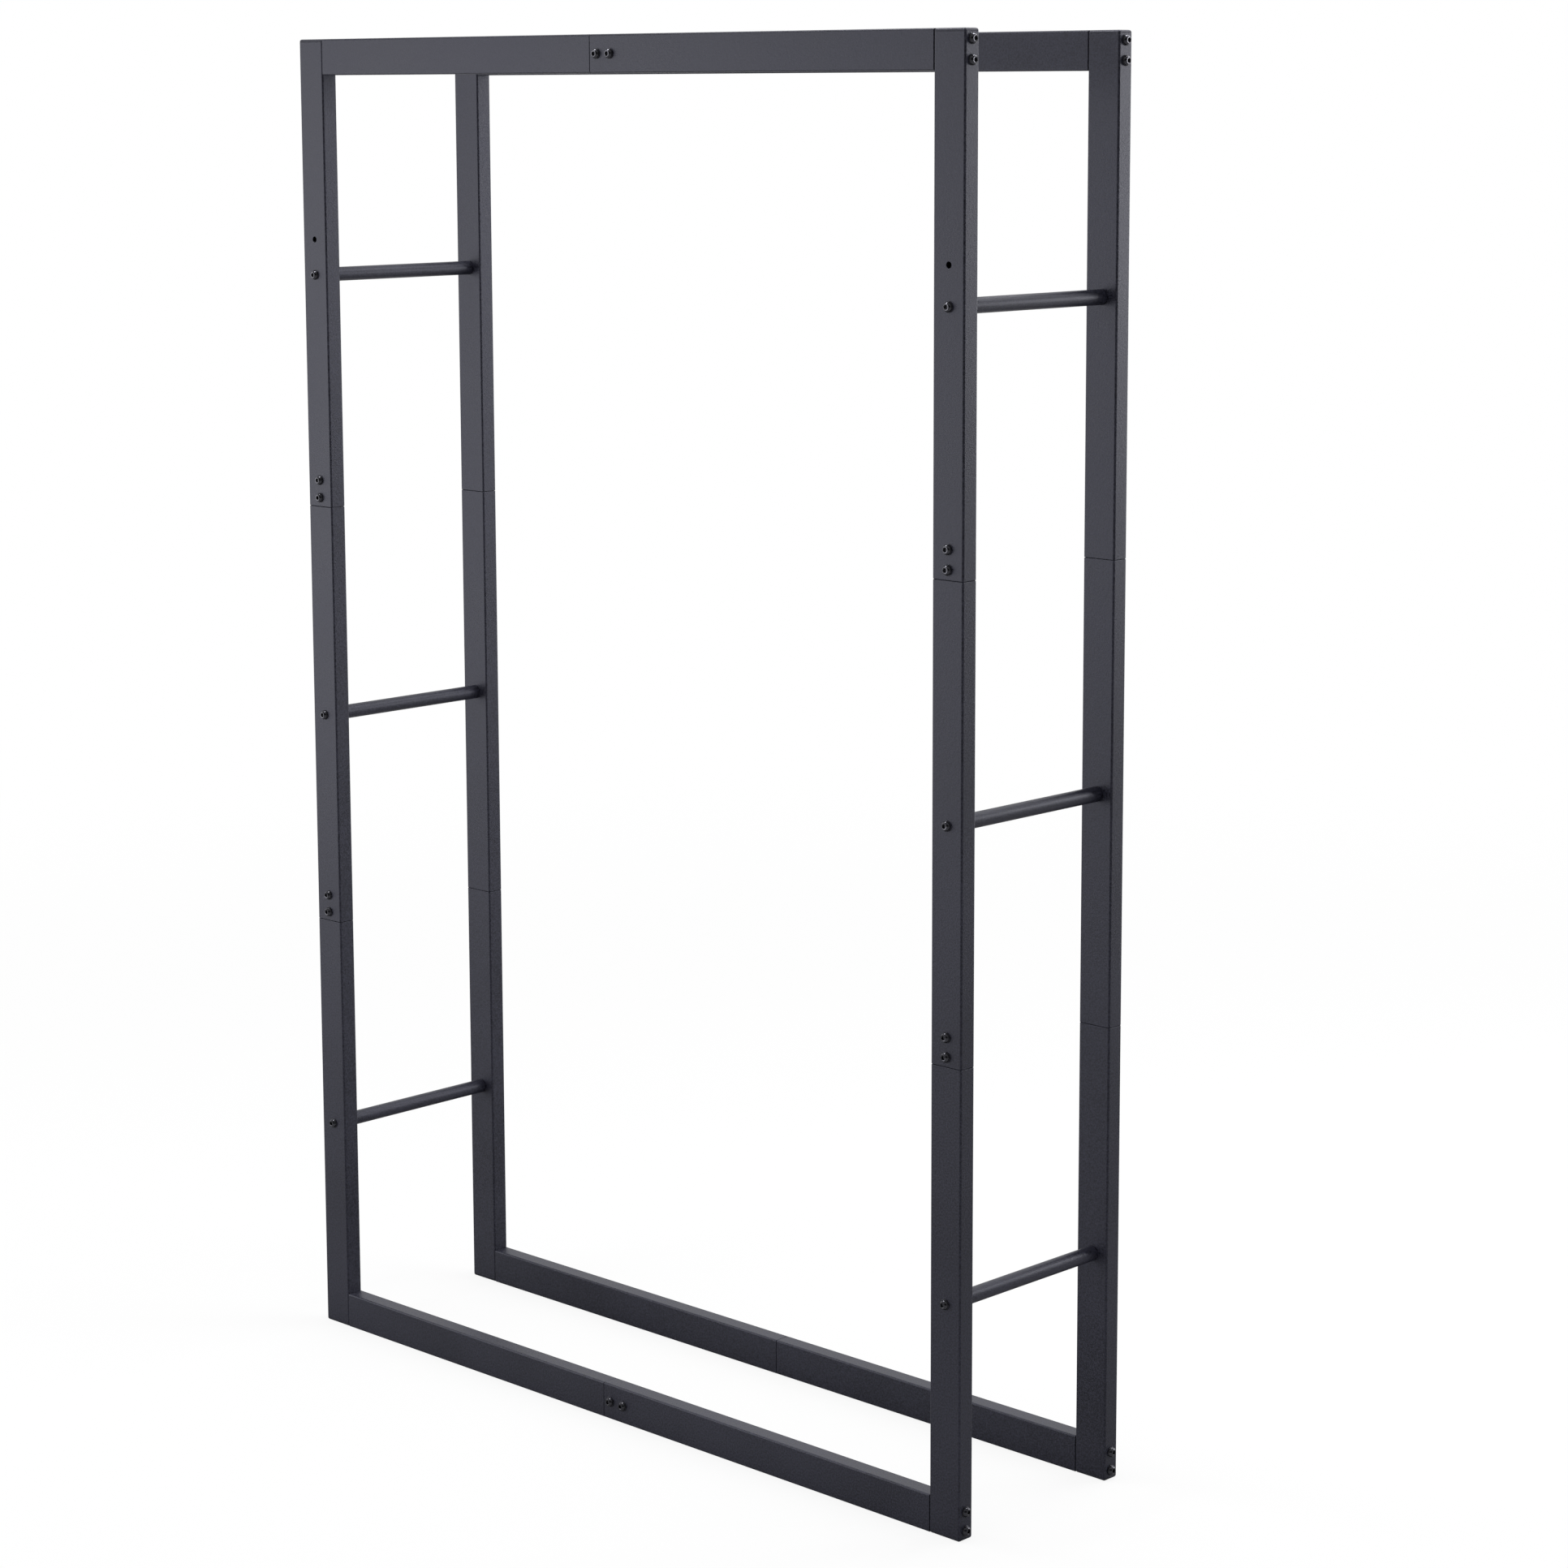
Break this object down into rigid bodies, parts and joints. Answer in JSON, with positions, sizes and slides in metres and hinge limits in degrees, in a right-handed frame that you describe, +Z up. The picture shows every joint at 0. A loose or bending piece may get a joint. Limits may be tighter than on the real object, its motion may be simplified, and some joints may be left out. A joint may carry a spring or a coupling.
{
  "type": "firewood log rack",
  "caption": "Tall open rack for firewood: upright frames of rectangular steel tube, spliced and bolted, held apart by round rungs at the sides.",
  "frame": {"origin": "on the floor, at the middle of the footprint", "axes": "+X to the right along the rails as seen from the front, +Y from the front frame to the back frame, +Z up along the posts"},
  "size_m": [1.0092, 0.2592, 1.5],
  "materials": {
    "powder_coat": "fine matt anthracite powder coat on steel tube",
    "black_steel": "glossy black oxide screws, washers and nut plates",
    "grey_plastic": "satin moulded plastic, dyed anthracite to match the coating"
  },
  "bodies": {
    "root": {"post_front_left_lower": "powder_coat", "post_front_left_middle": "powder_coat", "post_front_left_upper": "powder_coat", "post_front_right_lower": "powder_coat", "post_front_right_middle": "powder_coat", "post_front_right_upper": "powder_coat", "post_back_left_lower": "powder_coat", "post_back_left_middle": "powder_coat", "post_back_left_upper": "powder_coat", "post_back_right_lower": "powder_coat", "post_back_right_middle": "powder_coat", "post_back_right_upper": "powder_coat", "rail_front_bottom_left": "powder_coat", "rail_front_bottom_right": "powder_coat", "rail_front_top_left": "powder_coat", "rail_front_top_right": "powder_coat", "rail_back_bottom_left": "powder_coat", "rail_back_bottom_right": "powder_coat", "rail_back_top_left": "powder_coat", "rail_back_top_right": "powder_coat", "rung_left_lower": "powder_coat", "rung_left_middle": "powder_coat", "rung_left_upper": "powder_coat", "rung_right_lower": "powder_coat", "rung_right_middle": "powder_coat", "rung_right_upper": "powder_coat", "foot_front_left": "grey_plastic", "foot_front_right": "grey_plastic", "foot_back_left": "grey_plastic", "foot_back_right": "grey_plastic", "cap_front_left": "grey_plastic", "cap_front_right": "grey_plastic", "cap_back_left": "grey_plastic", "cap_back_right": "grey_plastic", "splice_front_left_lower": "black_steel", "splice_front_left_middle": "black_steel", "splice_front_right_lower": "black_steel", "splice_front_right_middle": "black_steel", "splice_back_left_lower": "black_steel", "splice_back_left_middle": "black_steel", "splice_back_right_lower": "black_steel", "splice_back_right_middle": "black_steel", "splice_rail_front_bottom": "black_steel", "splice_rail_front_top": "black_steel", "splice_rail_back_bottom": "black_steel", "splice_rail_back_top": "black_steel", "corner_front_left_bottom": "black_steel", "corner_front_left_top": "black_steel", "corner_front_right_bottom": "black_steel", "corner_front_right_top": "black_steel", "corner_back_left_bottom": "black_steel", "corner_back_left_top": "black_steel", "corner_back_right_bottom": "black_steel", "corner_back_right_top": "black_steel", "rung_bolt_left_lower": "black_steel", "rung_bolt_left_middle": "black_steel", "rung_bolt_left_upper": "black_steel", "rung_bolt_right_lower": "black_steel", "rung_bolt_right_middle": "black_steel", "rung_bolt_right_upper": "black_steel"}
  },
  "joints": []
}
